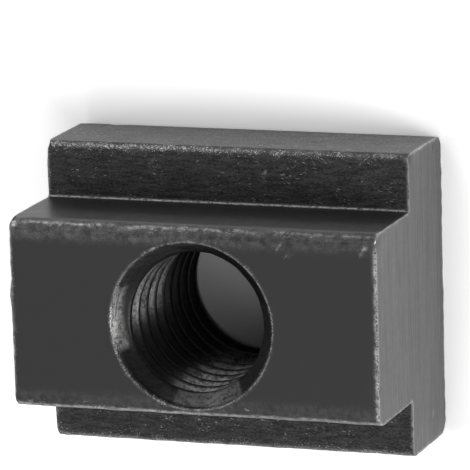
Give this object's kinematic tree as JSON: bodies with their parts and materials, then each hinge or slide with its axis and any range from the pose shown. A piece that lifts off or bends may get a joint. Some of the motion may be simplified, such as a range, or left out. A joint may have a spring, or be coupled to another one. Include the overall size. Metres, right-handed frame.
{
  "type": "t slot nut",
  "caption": "Steel T-slot nut: a wide foot, a narrower tongue with rounded long edges, and a tapped through hole countersunk at both mouths.",
  "frame": {"origin": "middle of the foot's underside, where the nut rests", "axes": "+X along the slot, +Y across it, +Z along the tapped hole and out of the tongue"},
  "size_m": [0.0274, 0.0222, 0.016],
  "materials": {
    "black_oxide_steel": "black oxide, worn bright on its edges"
  },
  "bodies": {
    "root": {"t_slot_nut": "black_oxide_steel"}
  },
  "joints": []
}
